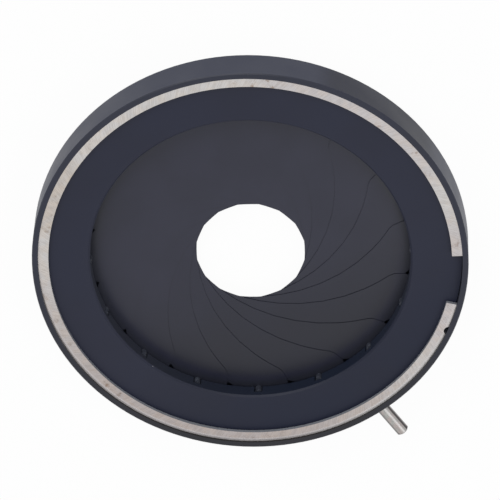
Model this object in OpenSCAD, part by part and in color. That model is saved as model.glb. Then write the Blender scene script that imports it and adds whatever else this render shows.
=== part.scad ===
// Iris diaphragm: sixteen thin leaves between a cup housing and a slotted drive ring.
// The origin is on the optical axis, on the rear face of the housing, and +Z points to
// the snap ring on the front. Closing the aperture turns ring and leaves counterclockwise
// as the front is seen. Sizes are in millimetres.

/* [Aperture] */
// Diameter of the clear hole with the leaves fully open
clear_d = 50; // [40:0.5:60]
// Diameter of the aperture with the leaves as they are drawn
shown_d = 17.4; // [12:0.1:24]
// Diameter of the aperture with the leaves fully closed
closed_d = 2.6; // [2:0.1:5]

/* [Leaves] */
// Width of a leaf
leaf_w = 7; // [6.4:0.1:8]
// Thickness of a leaf
leaf_t = 0.05; // [0.03:0.005:0.06]
// Distance from the clear hole to the inner edge of an open leaf
leaf_margin = 0.6; // [0.4:0.05:1]
// Angle between the centres of a leaf's two round ends
leaf_span = 133.5; // [131:0.25:136]
// Distance from the inner edge of a leaf to its pivot pin
pivot_inset = 4.6; // [4.2:0.1:5]
// Distance from the inner edge of a leaf to its drive pin
drive_inset = 5; // [4.6:0.1:5.4]
// Angle by which the drive pin stands back from the centre of the round end
drive_back = 1.2; // [0:0.1:2]
// Rise of a leaf for each leaf that it lies over, turning about the shut aperture
rise_inner = 0.078; // [0.07:0.001:0.09]
// Rise of a leaf for each leaf that it lies over, turning about its own arc
rise_outer = 0.039; // [0.035:0.001:0.045]

/* [Pins] */
// Diameter of a pivot pin
pivot_pin_d = 1.2; // [0.8:0.05:1.5]
// Diameter of a drive pin
drive_pin_d = 1.1; // [0.8:0.05:1.3]
// Height of a drive pin above its leaf
drive_pin_h = 1.4; // [0.8:0.1:1.7]
// Radial clearance round each pin
pin_gap = 0.06; // [0.04:0.01:0.1]
// Space between a pin's end face and the leaf that it stands on
pin_seat = 0.02; // [0.01:0.005:0.03]

/* [Housing] */
// Thickness of the cylindrical wall
wall_t = 0.96; // [0.8:0.02:2]
// Thickness of the base plate
base_t = 0.9; // [0.8:0.05:2]
// Height of the front lip over the snap ring
lip_t = 0.4; // [0.3:0.05:0.8]
// Depth of the snap ring groove in the wall
groove_depth = 0.36; // [0.25:0.01:0.45]
// Bevel on the outside edges of the housing
edge_bevel = 0.15; // [0.05:0.01:0.3]
// Bevel on the rear edge of the clear hole
hole_bevel = 0.3; // [0.1:0.05:0.5]
// Room left between the leaf tips and the bore
tip_gap = 0.71; // [0.2:0.02:1.5]
// Free height under and over the leaves
leaf_gap = 0.08; // [0.05:0.01:0.2]

/* [Drive ring] */
// Height of the ring
ring_h = 2.8; // [2.6:0.1:4]
// Distance that the ring's bore stands back from the clear hole
ring_margin = 0.75; // [0.5:0.05:1]
// Bevel on the front edge of the ring's bore
ring_bevel = 0.3; // [0.1:0.05:0.5]
// Radial running clearance of the ring in the housing
ring_gap = 0.08; // [0.04:0.01:0.1]
// Height left between a drive pin and the end of its slot
slot_spare = 0.2; // [0.1:0.05:0.4]
// Turn of the ring for each degree that the leaves turn
ring_ratio = 2.15; // [2.1:0.01:2.18]

/* [Snap ring] */
// Radial width of the snap ring
snap_w = 1.98; // [1.5:0.02:2.4]
// Thickness of the snap ring
snap_t = 0.65; // [0.5:0.05:1]
// Clearance of the snap ring in its groove and over the drive ring
snap_gap = 0.05; // [0.03:0.01:0.1]
// Angle of the gap between the ends of the snap ring
snap_open = 15.6; // [8:0.1:30]
// Direction of the middle of that gap
snap_at = -5.5; // [-30:0.5:30]
// Radius of the tool notch in the snap ring
notch_r = 0.8; // [0.5:0.05:1]
// Angle from the middle of the gap to the tool notch
notch_at = 16.4; // [14:0.1:30]

/* [Lever] */
// Diameter of the lever pin
lever_d = 2.1; // [1.6:0.1:2.2]
// Length of the lever pin outside the housing
lever_reach = 6.5; // [4:0.1:15]
// Length of the lever pin inside the drive ring
lever_seat = 4; // [3:0.1:4.5]
// Bevel at the end of the lever pin
lever_bevel = 0.25; // [0.1:0.05:0.5]
// Angle from the middle between two slots of the ring to the lever pin
lever_lead = 0.6; // [-2:0.1:2]
// Clearance of the lever pin in the window of the wall
lever_gap = 0.2; // [0.1:0.05:0.4]
// Radial clearance of the lever pin in the drive ring
lever_seat_gap = 0.02; // [0:0.01:0.03]

/* [Hidden] */
leaf_count = 16;

pitch = 360 / leaf_count;
past = 1; // how far a cutting tool runs past the surface that it cuts
hair = 0.02; // step that keeps a round face from just touching a flat one
$fn = 96;

// Radii of a leaf: its inner edge, its outer edge, its middle and its pivot pin
edge_r = clear_d / 2 + leaf_margin;
rim_r = edge_r + leaf_w;
mid_r = edge_r + leaf_w / 2;
pivot_r = edge_r + pivot_inset;

// Turn of a leaf about its pivot, from fully open, as drawn and with the aperture shut
rest_turn = turn_for(shown_d);
shut_turn = turn_for(closed_d);
// Direction of the first pivot, which sets the sides of the aperture square to the axes
first_pivot = pitch - rest_turn / 2;
// A leaf in its own frame: its arc is centred on the origin, its pivot lies on +X, and
// the shut aperture lies over this pole
pivot = [pivot_r, 0];
drive = (edge_r + drive_inset) * dir(leaf_span - drive_back);
pole = pivot - turned(pivot, -shut_turn);
tail_mid = [mid_r, 0];
tip_mid = mid_r * dir(leaf_span);
tail_at = heading(tail_mid - pole);
tip_at = heading(tip_mid - pole);
tail_half = asin(leaf_w / 2 / norm(tail_mid - pole));
tip_half = asin(leaf_w / 2 / norm(tip_mid - pole));
end_half = asin(leaf_w / 2 / mid_r);
leaf_rise = rise_inner / pitch * (tip_at + tip_half - tail_at + tail_half)
    + rise_outer / pitch * (leaf_span + 2 * end_half);

// Turn of the leaf that brings its drive pin nearest to the axis
inmost_turn = 180 - heading(drive - pivot);
// The lever stands close to the middle between two slots of the ring
slots_passed = 4;
lever_at = first_pivot + ring_ratio * (rest_turn - inmost_turn) + 180
    + (slots_passed + 1 / 2) * pitch + lever_lead;

// Levels, from the rear face to the front one
leaf_z = base_t + leaf_gap;
ring_z = leaf_z + leaf_rise + leaf_t + leaf_gap;
snap_z = ring_z + ring_h + snap_gap;
lip_z = snap_z + snap_t + snap_gap;
housing_h = lip_z + lip_t;
lever_z = ring_z + ring_h / 2;
drive_pin_z = leaf_z + rise_at(drive) + leaf_t + pin_seat;
slot_depth = drive_pin_z + drive_pin_h + slot_spare - ring_z;

// Radii, from the axis outwards
ring_in_r = clear_d / 2 + ring_margin;
tip_reach = norm(pivot + turned(tip_mid - pivot, shut_turn)) + leaf_w / 2;
bore_r = tip_reach + tip_gap;
ring_out_r = bore_r - ring_gap;
groove_r = bore_r + groove_depth;
snap_out_r = groove_r - snap_gap;
housing_r = bore_r + wall_t;

function dir(a) = [cos(a), sin(a)];
function heading(v) = let (a = atan2(v.y, v.x)) a < -90 ? a + 360 : a;
function turned(v, a) = [v.x * cos(a) - v.y * sin(a), v.x * sin(a) + v.y * cos(a)];
function two_digits(k) = k < 10 ? str("0", k) : str(k);
function numbered(name) = [for (k = [1:leaf_count]) str(name, "_", two_digits(k))];
function turn_for(d) = 2 * asin((edge_r - d / 2) / (2 * pivot_r));

// Where the ray from p towards d enters and leaves a circle
function near_hit(p, d, c, r) =
    let (v = c - p, b = v * d) b - sqrt(max(0, r * r - v * v + b * b));
function far_hit(p, d, c, r) =
    let (v = c - p, b = v * d) b + sqrt(max(0, r * r - v * v + b * b));

// Height of the leaf at point p above its lowest corner. The leaf climbs round the pole
// and round its own centre, so each leaf clears the next one at every aperture.
function rise_at(p) =
    rise_inner / pitch * (heading(p - pole) - tail_at + tail_half)
    + rise_outer / pitch * (heading(p) + end_half);

// Distances from the pole at which the ray at angle a crosses the leaf
function is_band(p) = heading(p) >= 0 && heading(p) <= leaf_span;
function leaf_inner(a) =
    let (d = dir(a), t = far_hit(pole, d, [0, 0], edge_r))
    is_band(pole + t * d) ? t : near_hit(pole, d, a < pitch ? tail_mid : tip_mid, leaf_w / 2);
function leaf_outer(a) =
    let (d = dir(a), t = far_hit(pole, d, [0, 0], rim_r))
    is_band(pole + t * d) ? t : far_hit(pole, d, a < pitch ? tail_mid : tip_mid, leaf_w / 2);

// Rays that carry the corners of the leaf, closer together towards its two round ends
end_steps = 6;
body_steps = 34;
crowding = 0.2; // share by which the body's rays crowd towards its ends
leaf_rays = concat(
    [for (i = [1:end_steps - 1]) tail_at - tail_half * cos(90 * i / end_steps)],
    [for (i = [0:body_steps]) let (s = 2 * i / body_steps - 1)
        (tail_at + tip_at) / 2 + (tip_at - tail_at) / 2 * s * (1 + crowding * (1 - s * s))],
    [for (i = [1:end_steps - 1]) tip_at + tip_half * sin(90 * i / end_steps)]);
leaf_corners = [for (a = leaf_rays)
    let (d = dir(a), t = leaf_inner(a), u = leaf_outer(a))
    for (p = [pole + t * d, pole + sqrt(t * u) * d, pole + u * d])
    for (lift = [0, leaf_t]) [p.x, p.y, rise_at(p) + lift]];

// Corner on ray i, at the inner edge (j = 0), the middle or the outer edge (j = 2), on
// the rear face (k = 0) or the front face of the leaf
function corner(i, j, k) = 6 * i + 2 * j + k;
last_ray = len(leaf_rays) - 1;
leaf_faces = concat(
    [for (i = [0:last_ray - 1], j = [0, 1]) each [
        [corner(i, j, 1), corner(i + 1, j, 1), corner(i + 1, j + 1, 1)],
        [corner(i, j, 1), corner(i + 1, j + 1, 1), corner(i, j + 1, 1)],
        [corner(i, j, 0), corner(i + 1, j + 1, 0), corner(i + 1, j, 0)],
        [corner(i, j, 0), corner(i, j + 1, 0), corner(i + 1, j + 1, 0)]]],
    [for (i = [0:last_ray - 1]) each [
        [corner(i, 0, 1), corner(i, 0, 0), corner(i + 1, 0, 0), corner(i + 1, 0, 1)],
        [corner(i, 2, 0), corner(i, 2, 1), corner(i + 1, 2, 1), corner(i + 1, 2, 0)]]],
    [[for (c = [[0, 0], [0, 1], [1, 1], [2, 1], [2, 0], [1, 0]]) corner(0, c[0], c[1])],
     [for (c = [[2, 0], [2, 1], [1, 1], [0, 1], [0, 0], [1, 0]]) corner(last_ray, c[0], c[1])]]);

// Path of the drive pin as the turning ring sees it, where b is the turn of the leaf, and
// a point beside that path, to the right of it for a positive offset
function slot_at(b) =
    turned(pivot + turned(drive - pivot, b), -ring_ratio * b);
slot_step = 0.1; // small turn that gives the direction of the path
function slot_heading(b) = heading(slot_at(b + slot_step) - slot_at(b - slot_step));
function beside(b, offset) = slot_at(b) - offset * dir(slot_heading(b) + 90);

// The pin goes in along one branch of its slot and out along the other. The branches run
// together as one straight mouth, and part again where there is room for a wall between.
slot_half = drive_pin_d / 2 + pin_gap;
mouth_turn = 11;
fork_turn = 17;
branch_steps = 8;
end_turns = 6;
function branch(from, to, offset) =
    [for (i = [0:branch_steps]) beside(from + (to - from) * i / branch_steps, offset)];
function round_end(b, first) =
    [for (i = [1:end_turns - 1])
        slot_at(b) + slot_half * dir(slot_heading(b) + first + 180 * i / end_turns)];
function mouth(p) = p - (norm(p) - ring_in_r + past) * dir(180 - ring_ratio * inmost_turn);
slot_outline = let (
        way_in = branch(0, inmost_turn - mouth_turn, slot_half),
        way_out = branch(inmost_turn + mouth_turn, shut_turn, slot_half))
    concat(
        way_in,
        [mouth(way_in[branch_steps]), mouth(way_out[0])],
        way_out,
        round_end(shut_turn, -90),
        branch(shut_turn, inmost_turn + fork_turn, -slot_half),
        branch(inmost_turn - fork_turn, 0, -slot_half),
        round_end(0, 90));

// Set a leaf, or a pin on it, at its place round the axis and at the drawn turn
module at_leaf(k) {
    rotate([0, 0, first_pivot + pitch * (k - 1)])
        translate(pivot)
            rotate([0, 0, rest_turn])
                translate(-pivot)
                    children();
}

module leaf(k) {
    color("#2a2b31")
        at_leaf(k)
            translate([0, 0, leaf_z])
                polyhedron(leaf_corners, leaf_faces);
}

module pivot_pin(k) {
    color("#6d6d70")
        at_leaf(k)
            translate(pivot)
                cylinder(h = leaf_z + rise_at(pivot) - pin_seat, d = pivot_pin_d);
}

module drive_pin(k) {
    color("#6d6d70")
        at_leaf(k)
            translate([drive.x, drive.y, drive_pin_z])
                cylinder(h = drive_pin_h, d = drive_pin_d);
}

// Window in the wall that the lever swings through. Its round ends are a hair higher than
// the window between them.
module lever_window() {
    half = lever_d / 2 + lever_gap;
    end_r = half + hair;
    first = lever_at - ring_ratio * rest_turn;
    sweep = ring_ratio * shut_turn;
    rotate([0, 0, first])
        rotate_extrude(angle = sweep)
            translate([bore_r - past, lever_z - half])
                square([wall_t + 2 * past, 2 * half]);
    for (a = [first, first + sweep])
        rotate([0, 0, a])
            translate([bore_r - past, 0, lever_z])
                rotate([0, 90, 0])
                    cylinder(h = wall_t + 2 * past, r = end_r);
}

module housing() {
    color("#26272c")
        difference() {
            rotate_extrude()
                polygon([
                    [clear_d / 2 + hole_bevel, 0],
                    [housing_r - edge_bevel, 0],
                    [housing_r, edge_bevel],
                    [housing_r, housing_h - edge_bevel],
                    [housing_r - edge_bevel, housing_h],
                    [bore_r, housing_h],
                    [bore_r, lip_z],
                    [groove_r, lip_z],
                    [groove_r, snap_z],
                    [bore_r, snap_z],
                    [bore_r, base_t],
                    [clear_d / 2, base_t],
                    [clear_d / 2, hole_bevel]]);
            for (k = [1:leaf_count])
                at_leaf(k)
                    translate([pivot_r, 0, -past])
                        cylinder(h = base_t + 2 * past, d = pivot_pin_d + 2 * pin_gap);
            lever_window();
        }
}

module snap_ring() {
    color("#bdb9b5")
        difference() {
            rotate([0, 0, snap_at + snap_open / 2])
                rotate_extrude(angle = 360 - snap_open)
                    translate([snap_out_r - snap_w, snap_z])
                        square([snap_w, snap_t]);
            rotate([0, 0, snap_at - notch_at])
                translate([snap_out_r, 0, snap_z - past])
                    cylinder(h = snap_t + 2 * past, r = notch_r);
        }
}

module drive_ring() {
    color("#2c2e36")
        difference() {
            rotate_extrude()
                polygon([
                    [ring_in_r, ring_z],
                    [ring_out_r, ring_z],
                    [ring_out_r, ring_z + ring_h],
                    [ring_in_r + ring_bevel, ring_z + ring_h],
                    [ring_in_r, ring_z + ring_h - ring_bevel]]);
            for (k = [1:leaf_count])
                rotate([0, 0, first_pivot + pitch * (k - 1) + ring_ratio * rest_turn])
                    translate([0, 0, ring_z - past])
                        linear_extrude(slot_depth + past)
                            polygon(slot_outline);
            along_lever(ring_out_r - lever_seat)
                cylinder(h = lever_seat + past, d = lever_d + 2 * lever_seat_gap);
        }
}

// Lay a part on the axis of the lever, from radius r outwards
module along_lever(r) {
    rotate([0, 0, lever_at])
        translate([r, 0, lever_z])
            rotate([0, 90, 0])
                children();
}

module lever_pin() {
    length = housing_r + lever_reach - ring_out_r + lever_seat;
    color("#c9c8c6")
        along_lever(ring_out_r - lever_seat)
            rotate_extrude()
                polygon([
                    [0, 0],
                    [lever_d / 2, 0],
                    [lever_d / 2, length - lever_bevel],
                    [lever_d / 2 - lever_bevel, length],
                    [0, length]]);
}

housing();
snap_ring();
drive_ring();
lever_pin();
for (k = [1:leaf_count]) {
    leaf(k);
    pivot_pin(k);
    drive_pin(k);
}
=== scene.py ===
import math

import bpy
from mathutils import Matrix, Vector


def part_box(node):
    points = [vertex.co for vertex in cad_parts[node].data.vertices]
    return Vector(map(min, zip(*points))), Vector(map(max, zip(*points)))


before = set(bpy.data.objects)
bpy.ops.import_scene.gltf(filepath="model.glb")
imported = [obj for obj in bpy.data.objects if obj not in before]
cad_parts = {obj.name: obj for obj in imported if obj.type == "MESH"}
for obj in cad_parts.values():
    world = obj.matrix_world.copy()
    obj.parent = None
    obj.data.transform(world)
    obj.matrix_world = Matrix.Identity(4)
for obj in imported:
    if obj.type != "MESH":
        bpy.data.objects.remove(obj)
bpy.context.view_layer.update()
print("frame loaded:", len(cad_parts), "nodes")


# helpers that build node materials; lengths are in metres, and angles in degrees from +X
def newMaterial(name):
    material = bpy.data.materials.new(name)
    material.use_nodes = True
    material.node_tree.nodes.clear()
    return material


def addNode(material, kind, values=None, **settings):
    # settings are properties of the node, values go to its input sockets by number or name
    node = material.node_tree.nodes.new(kind)
    for key, value in settings.items():
        setattr(node, key, value)
    for index, value in (values or {}).items():
        if isinstance(value, bpy.types.NodeSocket):
            material.node_tree.links.new(value, node.inputs[index])
        else:
            node.inputs[index].default_value = value
    return node


def addMath(material, operation, first, second=0.0, third=0.0):
    node = addNode(material, "ShaderNodeMath", {0: first, 1: second, 2: third}, operation=operation)
    return node.outputs[0]


def addMix(material, factor, first, second):
    node = addNode(material, "ShaderNodeMix", {0: factor, 6: first, 7: second}, data_type="RGBA")
    return node.outputs[2]


def addTint(material, factor, first, second):
    # first colour multiplied by the second as far as the factor says
    node = addNode(material, "ShaderNodeMix", {0: factor, 6: first, 7: second},
                   data_type="RGBA", blend_type="MULTIPLY")
    return node.outputs[2]


def addRange(material, value, low, high, outLow=0.0, outHigh=1.0):
    node = addNode(material, "ShaderNodeMapRange", {0: value, 1: low, 2: high, 3: outLow, 4: outHigh},
                   interpolation_type="SMOOTHSTEP")
    return node.outputs[0]


def addNoise(material, vector, scale, detail=3.0, roughness=0.5):
    node = addNode(material, "ShaderNodeTexNoise",
                   {"Vector": vector, "Scale": scale, "Detail": detail, "Roughness": roughness})
    return node.outputs[0]


def addBump(material, height, distance, strength=1.0, under=None):
    values = {"Height": height, "Distance": distance, "Strength": strength}
    if under is not None:
        values["Normal"] = under
    return addNode(material, "ShaderNodeBump", values).outputs[0]


def mixMarks(material, first, second, firstShare):
    # two patterns of marks added in the given shares
    rest = addMath(material, "MULTIPLY", second, 1.0 - firstShare)
    return addMath(material, "MULTIPLY_ADD", first, firstShare, rest)


def splitVector(material, vector):
    return addNode(material, "ShaderNodeSeparateXYZ", {0: vector}).outputs


def joinVector(material, x, y, z):
    return addNode(material, "ShaderNodeCombineXYZ", {0: x, 1: y, 2: z}).outputs[0]


def partCoordinates(material):
    return addNode(material, "ShaderNodeTexCoord").outputs["Object"]


def polarCoordinates(material, place):
    # radius and angle about the optical axis
    x, y, _ = splitVector(material, place)
    squares = addMath(material, "ADD", addMath(material, "MULTIPLY", x, x),
                      addMath(material, "MULTIPLY", y, y))
    return addMath(material, "SQRT", squares), addMath(material, "ARCTAN2", y, x)


def alongDirection(material, place, angle):
    # distance from the optical axis towards one side of the part
    x, y, _ = splitVector(material, place)
    turn = math.radians(angle)
    sideways = addMath(material, "MULTIPLY", y, math.sin(turn))
    return addMath(material, "MULTIPLY_ADD", x, math.cos(turn), sideways)


def angleAway(material, angle, degrees):
    # how far a direction lies from the one given, to either side
    return addMath(material, "ABSOLUTE", addMath(material, "SUBTRACT", angle, math.radians(degrees)))


def nearAngle(material, angle, patch):
    # 1 up to half to each side of the patch's angle, softly down to 0 past it
    aside = angleAway(material, angle, patch["angle"])
    outer = patch["half"] + patch["soft"]
    return addRange(material, aside, math.radians(patch["half"]), math.radians(outer), 1.0, 0.0)


def uprightShare(material, steepest=0.5):
    # 1 on walls that stand along the optical axis, 0 on flat faces
    normal = addNode(material, "ShaderNodeNewGeometry").outputs["True Normal"]
    upward = addMath(material, "ABSOLUTE", splitVector(material, normal)[2])
    return addMath(material, "LESS_THAN", upward, steepest)


def turningMarks(material, radius, pitch):
    # the fine rings that a lathe leaves on a face
    return addMath(material, "SINE", addMath(material, "MULTIPLY", radius, 2 * math.pi / pitch))


def finishShader(material, color, roughness, normal, specular=0.5, metallic=0.0):
    shader = addNode(material, "ShaderNodeBsdfPrincipled", {
        "Base Color": color, "Roughness": roughness, "Normal": normal,
        "Specular IOR Level": specular, "Metallic": metallic})
    addNode(material, "ShaderNodeOutputMaterial", {0: shader.outputs[0]})
    return material


def dress(names, material):
    for name in names:
        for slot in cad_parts[name].material_slots:
            slot.material = material


def nodesNamed(start):
    return [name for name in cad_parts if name.startswith(start)]


# camera
cameraPlan = {
    "place": (0.023733, 0.415177, 0.689590),
    "pitch": 31.11,
    "yaw": -1.70,
    "lens": 359.6,
    "sensor": 36.0,
    "nearest": 0.01,
}


def makeCamera(plan):
    camera = bpy.data.cameras.new("camera")
    camera.lens = plan["lens"]
    camera.sensor_width = plan["sensor"]
    camera.clip_start = plan["nearest"]
    holder = bpy.data.objects.new("camera", camera)
    bpy.context.scene.collection.objects.link(holder)
    yaw = Matrix.Rotation(math.radians(plan["yaw"]), 3, "Y")
    pitch = Matrix.Rotation(math.radians(plan["pitch"]), 3, "X")
    holder.matrix_world = Matrix.Translation(plan["place"]) @ (yaw @ pitch).transposed().to_4x4()
    bpy.context.scene.camera = holder
    print("camera placed")


makeCamera(cameraPlan)

# housing and drive ring, of anodised aluminium
housingLook = {
    "dark": (0.0168, 0.0195, 0.0345, 1.0),
    "light": (0.0203, 0.0230, 0.0405, 1.0),
    "roughness": (0.40, 0.48),
    "specular": 0.36,
    "cloudScale": 110.0,
    "grain": {"scale": 5200.0, "depth": 0.000003},
    "turning": {"pitch": 0.00024, "depth": 0.0000008},
    "wall": (0.0150, 0.0192, 0.0440, 1.0),
    # painted shade on the outer wall around 52 degrees
    "wallShadePatches": (
        {"angle": 52.0, "half": 14.0, "soft": 7.0, "color": (0.001, 0.003, 0.018, 1.0)},
    ),
    # painted shade: the inside of the front lip nearly black, for the dark line between the snap ring
    # and the lip
    "band": {"radius": 0.0342, "half": 0.0004, "color": (0.0012, 0.0010, 0.0010, 1.0)},
    # painted shade: darker and warmer towards -Y
    "shadedSide": {"angle": -90.0, "from": -0.002, "to": 0.034, "tint": (0.70, 0.62, 0.50, 1.0)},
    "paleSpecks": (),
}
ringLook = {
    "dark": (0.0086, 0.0106, 0.0268, 1.0),
    "light": (0.0108, 0.0133, 0.0313, 1.0),
    "roughness": (0.48, 0.56),
    "specular": 0.34,
    "cloudScale": 90.0,
    "grain": {"scale": 6400.0, "depth": 0.000003},
    "turning": {"pitch": 0.00019, "depth": 0.0000006},
    # a lighter tone on the walls: painted light in the shade of the bore
    "wall": (0.0265, 0.0295, 0.0440, 1.0),
    "wallShadePatches": (),
    # the slots painted paler: painted light in their shade, together with rubbing by the pins
    "band": {"radius": 0.0301, "half": 0.0041, "color": (0.090, 0.095, 0.120, 1.0)},
    # painted shade: darker and bluer towards -62 degrees
    "shadedSide": {"angle": -62.0, "from": 0.006, "to": 0.031, "tint": (0.30, 0.46, 0.70, 1.0)},
    "paleSpecks": ((0.00485, -0.02560, 0.00486), (-0.01610, -0.02010, 0.00486)),
}
anodisedFinish = {
    "cloudDetail": 4.0,
    "grainDetail": 2.0,
    "cloudColor": (0.35, 0.65),
    "cloudGloss": (0.3, 0.7),
    "bandSoft": 0.0001,
    "turningStrength": 0.5,
    "grainStrength": 0.6,
    "speckColor": (0.60, 0.60, 0.62, 1.0),
    "speckSize": 0.00011,
}


def anodised(name, look, finish):
    # dyed oxide with a fine blasted grain, over the last marks of the lathe
    material = newMaterial(name)
    place = partCoordinates(material)
    radius, angle = polarCoordinates(material, place)
    cloud = addNoise(material, place, look["cloudScale"], finish["cloudDetail"])
    grain = addNoise(material, place, look["grain"]["scale"], finish["grainDetail"])
    tone = addRange(material, cloud, *finish["cloudColor"])
    color = addMix(material, tone, look["dark"], look["light"])
    # walls have tones of their own: one all round, lighter on the ring as painted light in its shaded
    # bore; patches by direction, which are painted shade; and one band of radius, painted shade on the
    # housing's lip and painted light in the ring's slots
    upright = uprightShare(material)
    color = addMix(material, upright, color, look["wall"])
    # painted shade on the walls by direction
    for patch in look["wallShadePatches"]:
        share = addMath(material, "MULTIPLY", upright, nearAngle(material, angle, patch))
        color = addMix(material, share, color, patch["color"])
    # painted shade on the housing's lip, painted light in the ring's slots
    band = look["band"]
    away = addMath(material, "ABSOLUTE", addMath(material, "SUBTRACT", radius, band["radius"]))
    inside = addRange(material, away, band["half"], band["half"] + finish["bandSoft"], 1.0, 0.0)
    color = addMix(material, addMath(material, "MULTIPLY", upright, inside), color, band["color"])
    # painted shade: the face darkened towards one side
    warmToneAndShade = look["shadedSide"]
    side = addRange(material, alongDirection(material, place, warmToneAndShade["angle"]), warmToneAndShade["from"], warmToneAndShade["to"])
    color = addTint(material, side, color, warmToneAndShade["tint"])
    # pale specks at the listed points
    for speck in look["paleSpecks"]:
        away = addNode(material, "ShaderNodeVectorMath", {0: place, 1: speck}, operation="DISTANCE")
        near = addMath(material, "LESS_THAN", away.outputs["Value"], finish["speckSize"])
        color = addMix(material, near, color, finish["speckColor"])
    roughness = addRange(material, cloud, *finish["cloudGloss"], *look["roughness"])
    marks = turningMarks(material, radius, look["turning"]["pitch"])
    turned = addBump(material, marks, look["turning"]["depth"], finish["turningStrength"])
    normal = addBump(material, grain, look["grain"]["depth"], finish["grainStrength"], turned)
    return finishShader(material, color, roughness, normal, look["specular"])


dress(["housing"], anodised("housingAnodised", housingLook, anodisedFinish))
dress(["drive_ring"], anodised("ringAnodised", ringLook, anodisedFinish))
print("housing and drive ring dressed")

# leaves
leafLook = {
    "dark": (0.0115, 0.0125, 0.0285, 1.0),
    "light": (0.0145, 0.0155, 0.0330, 1.0),
    "cloud": {"scale": 130.0, "detail": 3.0, "color": (0.35, 0.65), "gloss": (0.3, 0.7)},
    # painted shade: darker towards -68 degrees, fading out near the ring's bore
    "shadedLeafSide": {"angle": -68.0, "from": -0.002, "to": 0.020, "tint": (0.33, 0.37, 0.47, 1.0),
                 "fade": (0.0229, 0.0247)},
    # painted light: the tails lighter where the drive ring shades them
    "litTail": {"from": 0.0240, "to": 0.0254, "color": (0.0185, 0.0200, 0.0310, 1.0)},
    # painted shade: the inner edge walls darkened for the shadow in the gaps under the leaf edges
    "edge": {"from": 0.0235, "to": 0.0245, "color": (0.0035, 0.0035, 0.0048, 1.0)},
    "scuff": {"around": 6.5, "across": 5200.0, "detail": 2.0, "share": (0.5, 0.8), "roughness": 0.06},
    "roughness": (0.36, 0.43),
    "specular": 0.48,
    "bow": {"from": 0.0125, "curve": 4.6},
    "grain": {"scale": 7000.0, "detail": 2.0, "depth": 0.0000025, "strength": 0.4},
}


def blackenedSteel(name, look):
    # rolled strip, blackened, with faint scuffs where it slides and punched edges; painted shade on one
    # side and on the inner edge walls, painted light on the tails
    material = newMaterial(name)
    place = partCoordinates(material)
    radius, angle = polarCoordinates(material, place)
    cloud = addNoise(material, place, look["cloud"]["scale"], look["cloud"]["detail"])
    grain = addNoise(material, place, look["grain"]["scale"], look["grain"]["detail"])
    tone = addRange(material, cloud, *look["cloud"]["color"])
    color = addMix(material, tone, look["dark"], look["light"])
    # painted shade on one side
    dullToneAndShade = look["shadedLeafSide"]
    side = addRange(material, alongDirection(material, place, dullToneAndShade["angle"]), dullToneAndShade["from"], dullToneAndShade["to"])
    side = addMath(material, "MULTIPLY", side, addRange(material, radius, *dullToneAndShade["fade"], 1.0, 0.0))
    color = addTint(material, side, color, dullToneAndShade["tint"])
    # painted light on the tails
    litTail = look["litTail"]
    color = addMix(material, addRange(material, radius, litTail["from"], litTail["to"]), color, litTail["color"])
    # painted shade on the inner edge walls
    edge = look["edge"]
    inner = addRange(material, radius, edge["from"], edge["to"], 1.0, 0.0)
    shadedEdgeWalls = addMath(material, "MULTIPLY", uprightShare(material), inner)
    color = addMix(material, shadedEdgeWalls, color, edge["color"])
    # scuffs run round the axis
    scuff = look["scuff"]
    sliding = joinVector(material, addMath(material, "MULTIPLY", angle, scuff["around"]),
                         addMath(material, "MULTIPLY", radius, scuff["across"]), 0.0)
    scuffed = addRange(material, addNoise(material, sliding, 1.0, scuff["detail"]), *scuff["share"])
    even = addRange(material, cloud, *look["cloud"]["gloss"], *look["roughness"])
    roughness = addMath(material, "MULTIPLY_ADD", scuffed, scuff["roughness"], even)
    # the stack of thin leaves falls off a little towards its pins
    past = addMath(material, "MAXIMUM", addMath(material, "SUBTRACT", radius, look["bow"]["from"]), 0.0)
    squared = addMath(material, "MULTIPLY", past, past)
    bowed = addBump(material, addMath(material, "MULTIPLY", squared, -look["bow"]["curve"]), 1.0)
    bump = addBump(material, grain, look["grain"]["depth"], look["grain"]["strength"], bowed)
    return finishShader(material, color, roughness, bump, look["specular"])


leafNames = nodesNamed("leaf_")
dress(leafNames, blackenedSteel("leafBlackened", leafLook))
print("leaves dressed:", len(leafNames))

# snap ring
snapLook = {
    "bright": (0.608, 0.581, 0.564, 1.0),
    "dullToneAndShade": (0.515, 0.486, 0.467, 1.0),
    "roughness": (0.20, 0.32),
    "patches": {"scale": 700.0, "detail": 5.0, "roughness": 0.6, "gloss": (0.3, 0.7)},
    "streaks": {"pitch": 0.00016, "slant": 0.6, "across": 500.0, "detail": 2.0, "share": 0.6,
                "color": (0.38, 0.62), "depth": 0.0000015, "strength": 0.5, "radius": 0.0333},
    "stain": {"color": (0.66, 0.57, 0.50, 1.0), "patches": (0.56, 0.70), "clouds": (0.48, 0.62),
              "scale": 150.0, "detail": 2.0},
    "hue": {"warmToneAndShade": (1.0, 0.984, 0.962, 1.0), "cool": (0.970, 0.985, 1.0, 1.0), "scale": 650.0,
            "detail": 2.0, "shift": (0.013, 0.004, 0.0), "share": (0.40, 0.60)},
    # painted shade: darker and warmer towards 255 degrees
    "shadedSnapSide": {"angle": 255.0, "from": 0.002, "to": 0.032, "tint": (0.76, 0.71, 0.705, 1.0)},
    # painted shade in three sectors round the ring
    "shadedSectors": (
        {"angle": 158.0, "half": 8.0, "soft": 7.0, "tint": (0.92, 0.885, 0.85, 1.0)},
        {"angle": -8.0, "half": 15.0, "soft": 12.0, "tint": (0.91, 0.885, 0.90, 1.0)},
        {"angle": 57.0, "half": 22.0, "soft": 12.0, "tint": (0.945, 0.93, 0.95, 1.0)},
    ),
    # painted light: on the -Y side the outer edge is lighter and less metallic, and lighter still
    # towards +X
    "litOuterEdge": {"from": 0.03340, "to": 0.03370, "side": (0.012, -0.033),
             "color": (0.59, 0.548, 0.545, 1.0), "lighterTowardsX": (0.72, 0.69, 0.68, 1.0),
             "lighterTowardsXRange": (0.004, 0.024)},
    "sheared": (0.33, 0.34, 0.37, 1.0),
    "mattMetallic": 0.25,
}


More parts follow.
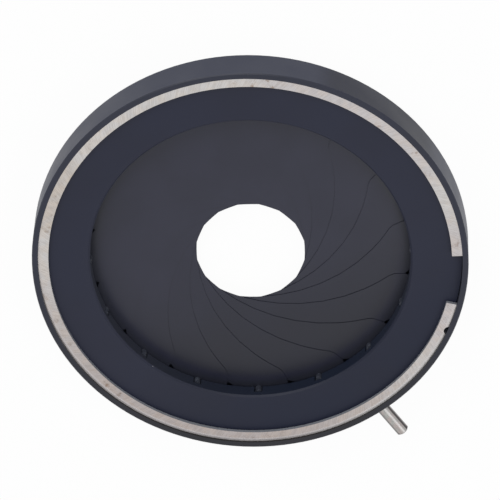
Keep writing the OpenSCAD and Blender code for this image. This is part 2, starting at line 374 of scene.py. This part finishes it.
def springSteel(name, look):
    # bare pressed steel: fine slanting grind marks and small patches, with painted shade on one side
    # and in three sectors, and painted light on the outer edge
    material = newMaterial(name)
    place = partCoordinates(material)
    x, y, _ = splitVector(material, place)
    radius, angle = polarCoordinates(material, place)
    patches = look["patches"]
    patchy = addNoise(material, place, patches["scale"], patches["detail"], patches["roughness"])
    marks = look["streaks"]
    along = addMath(material, "MULTIPLY", angle, marks["radius"])
    slanted = addMath(material, "MULTIPLY_ADD", radius, marks["slant"], along)
    streaks = addNoise(material, joinVector(
        material, addMath(material, "DIVIDE", slanted, marks["pitch"]),
        addMath(material, "MULTIPLY", radius, marks["across"]), 0.0), 1.0, marks["detail"])
    worn = mixMarks(material, streaks, patchy, marks["share"])
    color = addMix(material, addRange(material, worn, *marks["color"]), look["bright"], look["dullToneAndShade"])
    stain = look["stain"]
    clouds = addNoise(material, place, stain["scale"], stain["detail"])
    stained = addMath(material, "MULTIPLY", addRange(material, patchy, *stain["patches"]),
                      addRange(material, clouds, *stain["clouds"]))
    color = addTint(material, stained, color, stain["color"])
    hue = look["hue"]
    shifted = addNode(material, "ShaderNodeVectorMath", {0: place, 1: hue["shift"]}, operation="ADD")
    tone = addRange(material, addNoise(material, shifted.outputs[0], hue["scale"], hue["detail"]),
                    *hue["share"])
    color = addTint(material, 1.0, color, addMix(material, tone, hue["warmToneAndShade"], hue["cool"]))
    # painted shade on one side
    shadedSnapSide = look["shadedSnapSide"]
    side = addRange(material, alongDirection(material, place, shadedSnapSide["angle"]), shadedSnapSide["from"], shadedSnapSide["to"])
    color = addTint(material, side, color, shadedSnapSide["tint"])
    # painted shade by sectors
    for sector in look["shadedSectors"]:
        color = addTint(material, nearAngle(material, angle, sector), color, sector["tint"])
    # painted light on the outer edge
    edge = look["litOuterEdge"]
    litOuterEdge = addMath(material, "MULTIPLY", addRange(material, y, *edge["side"]),
                   addRange(material, radius, edge["from"], edge["to"]))
    lighterTowardsX = addRange(material, x, *edge["lighterTowardsXRange"])
    color = addMix(material, litOuterEdge, color, addMix(material, lighterTowardsX, edge["color"], edge["lighterTowardsX"]))
    sheared = uprightShare(material)
    color = addMix(material, sheared, color, look["sheared"])
    matt = addMath(material, "MAXIMUM", litOuterEdge, sheared)
    metallic = addMath(material, "MULTIPLY_ADD", matt, look["mattMetallic"] - 1.0, 1.0)
    roughness = addRange(material, patchy, *patches["gloss"], *look["roughness"])
    bump = addBump(material, streaks, marks["depth"], marks["strength"])
    return finishShader(material, color, roughness, bump, metallic=metallic)


dress(["snap_ring"], springSteel("snapSteel", snapLook))
print("snap ring dressed")

# lever
leverLook = {
    "bright": (0.46, 0.435, 0.42, 1.0),
    "dullToneAndShade": (0.32, 0.30, 0.295, 1.0),
    "roughness": (0.24, 0.36),
    "marks": {"around": 9.0, "along": 60.0, "detail": 4.0, "roughness": 0.65, "share": 0.7,
              "color": (0.38, 0.62), "gloss": (0.3, 0.7), "depth": 0.000004, "strength": 0.6},
    "fleck": {"scale": 1800.0, "detail": 2.0},
    "patches": {"scale": 900.0, "detail": 1.0, "share": (0.4, 0.6),
                "warmToneAndShade": (1.0, 0.955, 0.945, 1.0), "cool": (0.95, 1.0, 0.985, 1.0)},
    # painted reflections that run the length of the rod, by their angle from its top: a highlight, a
    # dark band and a dimmer band
    "paintedReflections": (
        {"angle": 27.0, "core": 3.0, "soft": 9.0, "color": (0.43, 0.415, 0.41, 1.0)},
        {"angle": 68.0, "core": 8.0, "soft": 12.0, "color": (0.080, 0.074, 0.076, 1.0)},
        {"angle": -50.0, "core": 12.0, "soft": 20.0, "color": (0.20, 0.19, 0.185, 1.0)},
    ),
    "waver": {"depth": 0.12, "middle": 0.06},
    # painted dark reflections on the sides of the tip
    "tipReflection": {"length": 0.0006, "crown": 27.0, "angle": 42.0, "soft": 20.0,
            "color": (0.060, 0.052, 0.055, 1.0)},
    # painted shade towards the rod's outline
    "limbShade": {"blend": 0.35, "facing": (0.35, 0.85), "tint": (0.70, 0.70, 0.71, 1.0)},
}


def drawnSteel(name, look):
    # bright rod with lengthwise die marks, described by the angle round its own axis, with painted
    # reflections along it, painted dark reflections at its tip and painted shade at its outline
    low, high = (Vector(corner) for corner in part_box("lever_pin"))
    middle = (low + high) / 2
    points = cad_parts["lever_pin"].data.vertices
    end = max(math.hypot(point.co.x, point.co.y) for point in points)
    material = newMaterial(name)
    place = partCoordinates(material)
    turned = addNode(material, "ShaderNodeVectorRotate", {
        "Vector": place, "Angle": -math.atan2(middle.y, middle.x)}, rotation_type="Z_AXIS")
    along, across, height = splitVector(material, turned.outputs[0])
    above = addMath(material, "SUBTRACT", height, middle.z)
    around = addMath(material, "ARCTAN2", across, above)
    mark = look["marks"]
    drawn = joinVector(material, addMath(material, "MULTIPLY", around, mark["around"]),
                       addMath(material, "MULTIPLY", along, mark["along"]), 0.0)
    marks = addNoise(material, drawn, 1.0, mark["detail"], mark["roughness"])
    fleck = addNoise(material, place, look["fleck"]["scale"], look["fleck"]["detail"])
    worn = mixMarks(material, marks, fleck, mark["share"])
    color = addMix(material, addRange(material, worn, *mark["color"]), look["bright"], look["dullToneAndShade"])
    patches = look["patches"]
    tone = addRange(material, addNoise(material, place, patches["scale"], patches["detail"]),
                    *patches["share"])
    color = addTint(material, 1.0, color, addMix(material, tone, patches["warmToneAndShade"], patches["cool"]))
    # painted reflections along the rod
    for reflectionBand in look["paintedReflections"]:
        away = angleAway(material, around, reflectionBand["angle"])
        wavy = addMath(material, "MULTIPLY_ADD", marks, look["waver"]["depth"], away)
        core = look["waver"]["middle"] + math.radians(reflectionBand["core"])
        share = addRange(material, wavy, core, core + math.radians(reflectionBand["soft"]), 1.0, 0.0)
        color = addMix(material, share, color, reflectionBand["color"])
    # painted dark reflections on the tip
    tipReflection = look["tipReflection"]
    nearTip = addRange(material, along, end - tipReflection["length"], end - tipReflection["length"] / 2)
    flank = addRange(material, angleAway(material, around, tipReflection["crown"]),
                     math.radians(tipReflection["angle"]), math.radians(tipReflection["angle"] + tipReflection["soft"]))
    color = addMix(material, addMath(material, "MULTIPLY", nearTip, flank), color, tipReflection["color"])
    # painted shade towards the outline
    limbShade = look["limbShade"]
    facing = addNode(material, "ShaderNodeLayerWeight", {"Blend": limbShade["blend"]}).outputs["Facing"]
    color = addTint(material, addRange(material, facing, *limbShade["facing"]), color, limbShade["tint"])
    roughness = addRange(material, worn, *mark["gloss"], *look["roughness"])
    bump = addBump(material, marks, mark["depth"], mark["strength"])
    return finishShader(material, color, roughness, bump, metallic=1.0)


dress(["lever_pin"], drawnSteel("leverSteel", leverLook))
print("lever dressed")

# pins
pinLook = {
    "dark": (0.034, 0.038, 0.054, 1.0),
    "worn": (0.085, 0.092, 0.115, 1.0),
    "rub": {"scale": 1500.0, "detail": 4.0, "share": (0.45, 0.75)},
    "grain": {"scale": 9000.0, "detail": 2.0, "depth": 0.000003, "strength": 0.5},
    "roughness": 0.46,
    "specular": 0.5,
}


def pinSteel(name, look):
    # blackened pins, rubbed a little brighter where they slide
    material = newMaterial(name)
    place = partCoordinates(material)
    rub = look["rub"]
    rubbed = addRange(material, addNoise(material, place, rub["scale"], rub["detail"]), *rub["share"])
    color = addMix(material, rubbed, look["dark"], look["worn"])
    grain = look["grain"]
    bump = addBump(material, addNoise(material, place, grain["scale"], grain["detail"]),
                   grain["depth"], grain["strength"])
    return finishShader(material, color, look["roughness"], bump, look["specular"])


pinNames = nodesNamed("pivot_pin_") + nodesNamed("drive_pin_")
dress(pinNames, pinSteel("pinBlackened", pinLook))
print("pins dressed:", len(pinNames))

# floor, world and lamps
stagePlan = {
    "floorSize": 4.0,
    "floorColor": (0.88, 0.88, 0.88, 1.0),
    "floorDrop": 0.00002,
    "shadowShare": 0.04,
    "worldLight": 0.62,
    "worldTint": (0.96, 0.98, 1.0, 1.0),
}
lampPlan = {
    "key": {"place": (-0.18, 0.62, 0.42), "size": 0.45, "power": 1.8},
    "fill": {"place": (0.45, -0.30, 0.45), "size": 0.5, "power": 0.8},
}


def seenAsBackground(owner):
    # 1 for camera, mirror-like and see-through rays, 0 for rays that only light the object
    path = addNode(owner, "ShaderNodeLightPath").outputs
    direct = addMath(owner, "MAXIMUM", path["Is Camera Ray"], path["Is Glossy Ray"])
    return addMath(owner, "MAXIMUM", direct, path["Is Transmission Ray"])


def makeFloor(plan):
    half = plan["floorSize"] / 2
    corners = [(-half, -half, 0), (half, -half, 0), (half, half, 0), (-half, half, 0)]
    mesh = bpy.data.meshes.new("floor")
    mesh.from_pydata(corners, [], [(0, 1, 2, 3)])
    floor = bpy.data.objects.new("floor", mesh)
    floor.location.z = -plan["floorDrop"]
    bpy.context.scene.collection.objects.link(floor)
    material = newMaterial("paleFloor")
    matt = addNode(material, "ShaderNodeBsdfDiffuse", {"Color": plan["floorColor"]})
    glow = addNode(material, "ShaderNodeEmission", {"Strength": 1.0})
    share = addMath(material, "MULTIPLY", seenAsBackground(material), 1.0 - plan["shadowShare"])
    mix = addNode(material, "ShaderNodeMixShader", {0: share, 1: matt.outputs[0], 2: glow.outputs[0]})
    addNode(material, "ShaderNodeOutputMaterial", {0: mix.outputs[0]})
    mesh.materials.append(material)


def makeWorld(plan):
    world = bpy.data.worlds.new("studio")
    world.use_nodes = True
    world.node_tree.nodes.clear()
    light = addNode(world, "ShaderNodeBackground", {
        "Color": plan["worldTint"], "Strength": plan["worldLight"]})
    white = addNode(world, "ShaderNodeBackground", {"Color": (1.0, 1.0, 1.0, 1.0), "Strength": 1.0})
    mix = addNode(world, "ShaderNodeMixShader", {
        0: seenAsBackground(world), 1: light.outputs[0], 2: white.outputs[0]})
    addNode(world, "ShaderNodeOutputWorld", {0: mix.outputs[0]})
    bpy.context.scene.world = world


def makeLamp(name, plan):
    lamp = bpy.data.lights.new(name, "AREA")
    lamp.shape = "DISK"
    lamp.size = plan["size"]
    lamp.energy = plan["power"]
    holder = bpy.data.objects.new(name, lamp)
    holder.location = plan["place"]
    holder.rotation_euler = (-Vector(plan["place"])).to_track_quat("-Z", "Y").to_euler()
    bpy.context.scene.collection.objects.link(holder)


makeFloor(stagePlan)
makeWorld(stagePlan)
for lampName, lampSettings in lampPlan.items():
    makeLamp(lampName, lampSettings)
bpy.context.scene.view_settings.view_transform = "Standard"
print("stage and lamps set")
